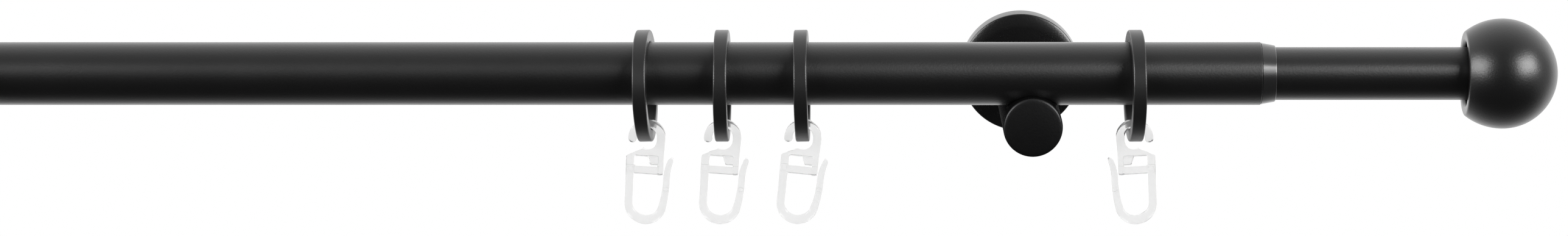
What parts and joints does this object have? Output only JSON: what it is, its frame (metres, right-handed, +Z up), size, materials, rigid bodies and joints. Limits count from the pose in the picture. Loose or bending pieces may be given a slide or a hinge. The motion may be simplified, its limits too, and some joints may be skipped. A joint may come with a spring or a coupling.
{
  "type": "curtain rod with brackets",
  "caption": "Telescopic curtain rod on two wall brackets with saddle arms, ball finials, sliding rings and moulded pleat hooks.",
  "frame": {"origin": "on the wall, midway between the two brackets, at the height of their arms", "axes": "+X along the rod towards its thin end, +Y into the wall, +Z up"},
  "size_m": [0.758, 0.097, 0.0632],
  "materials": {
    "black_powder_coat": "matte black powder coat, fine grain",
    "black_satin_ring": "satin black paint",
    "dark_plastic": "semi-gloss dark grey moulding",
    "clear_moulding": "clear, slightly milky moulding",
    "zinc_plate": "zinc plated",
    "screw_steel": "blackened steel"
  },
  "bodies": {
    "root": {"outer_tube": "black_powder_coat", "reducing_sleeve": "dark_plastic", "ball_finial_left": "black_powder_coat", "finial_screw_left": "screw_steel", "wall_plate_right": "zinc_plate", "rosette_right": "black_powder_coat", "rosette_screw_right": "screw_steel", "bracket_arm_right": "black_powder_coat", "arm_screw_right": "screw_steel", "rod_screw_right": "screw_steel", "wall_plate_left": "zinc_plate", "rosette_left": "black_powder_coat", "rosette_screw_left": "screw_steel", "bracket_arm_left": "black_powder_coat", "arm_screw_left": "screw_steel", "rod_screw_left": "screw_steel"},
    "inner_rod": {"inner_tube": "black_powder_coat", "inner_guide_bush": "dark_plastic", "ball_finial_right": "black_powder_coat", "finial_insert_right": "dark_plastic", "finial_screw_right": "screw_steel"},
    "ring_1": {"ring_1": "black_satin_ring"},
    "hook_1": {"hook_1": "clear_moulding"},
    "ring_2": {"ring_2": "black_satin_ring"},
    "hook_2": {"hook_2": "clear_moulding"},
    "ring_3": {"ring_3": "black_satin_ring"},
    "hook_3": {"hook_3": "clear_moulding"},
    "ring_4": {"ring_4": "black_satin_ring"},
    "hook_4": {"hook_4": "clear_moulding"},
    "ring_5": {"ring_5": "black_satin_ring"},
    "hook_5": {"hook_5": "clear_moulding"},
    "ring_6": {"ring_6": "black_satin_ring"},
    "hook_6": {"hook_6": "clear_moulding"},
    "ring_7": {"ring_7": "black_satin_ring"},
    "hook_7": {"hook_7": "clear_moulding"},
    "ring_8": {"ring_8": "black_satin_ring"},
    "hook_8": {"hook_8": "clear_moulding"}
  },
  "joints": [
    {"name": "inner_rod_slide", "type": "slide", "parent": "root", "child": "inner_rod", "axis": [1, 0, 0], "range_m": [-0.0566, 0.555]},
    {"name": "ring_1_slide", "type": "slide", "parent": "root", "child": "ring_1", "axis": [1, 0, 0], "range_m": [-0.188, 0.007]},
    {"name": "hook_1_swing", "type": "hinge", "parent": "ring_1", "child": "hook_1", "pos_m": [0.1029, -0.08, 0.0107], "axis": [0.9955, -0.0872, 0.0382], "range_deg": [-60, 60]},
    {"name": "ring_2_slide", "type": "slide", "parent": "root", "child": "ring_2", "axis": [1, 0, 0], "range_m": [-0.007, 0.007]},
    {"name": "hook_2_swing", "type": "hinge", "parent": "ring_2", "child": "hook_2", "pos_m": [0.1263, -0.08, 0.0107], "axis": [0.9992, -0.0384, 0.0087], "range_deg": [-60, 60]},
    {"name": "ring_3_slide", "type": "slide", "parent": "root", "child": "ring_3", "axis": [1, 0, 0], "range_m": [-0.007, 0.049]},
    {"name": "hook_3_swing", "type": "hinge", "parent": "ring_3", "child": "hook_3", "pos_m": [0.1504, -0.08, 0.0107], "axis": [0.9992, -0.0332, 0.0244], "range_deg": [-60, 60]},
    {"name": "ring_4_slide", "type": "slide", "parent": "root", "child": "ring_4", "axis": [1, 0, 0], "range_m": [-0.012, 0.033]},
    {"name": "hook_4_swing", "type": "hinge", "parent": "ring_4", "child": "hook_4", "pos_m": [0.2513, -0.08, 0.0107], "axis": [0.9995, 0.0314, 0], "range_deg": [-60, 60]},
    {"name": "ring_5_slide", "type": "slide", "parent": "root", "child": "ring_5", "axis": [1, 0, 0], "range_m": [-0.007, 0.188]},
    {"name": "hook_5_swing", "type": "hinge", "parent": "ring_5", "child": "hook_5", "pos_m": [-0.1029, -0.08, 0.0107], "axis": [0.9955, 0.0872, -0.0382], "range_deg": [-60, 60]},
    {"name": "ring_6_slide", "type": "slide", "parent": "root", "child": "ring_6", "axis": [1, 0, 0], "range_m": [-0.007, 0.007]},
    {"name": "hook_6_swing", "type": "hinge", "parent": "ring_6", "child": "hook_6", "pos_m": [-0.1263, -0.08, 0.0107], "axis": [0.9992, 0.0384, -0.0087], "range_deg": [-60, 60]},
    {"name": "ring_7_slide", "type": "slide", "parent": "root", "child": "ring_7", "axis": [1, 0, 0], "range_m": [-0.049, 0.007]},
    {"name": "hook_7_swing", "type": "hinge", "parent": "ring_7", "child": "hook_7", "pos_m": [-0.1504, -0.08, 0.0107], "axis": [0.9992, 0.0332, -0.0244], "range_deg": [-60, 60]},
    {"name": "ring_8_slide", "type": "slide", "parent": "root", "child": "ring_8", "axis": [1, 0, 0], "range_m": [-0.091, 0.012]},
    {"name": "hook_8_swing", "type": "hinge", "parent": "ring_8", "child": "hook_8", "pos_m": [-0.2513, -0.08, 0.0107], "axis": [0.9995, -0.0314, 0], "range_deg": [-60, 60]}
  ]
}
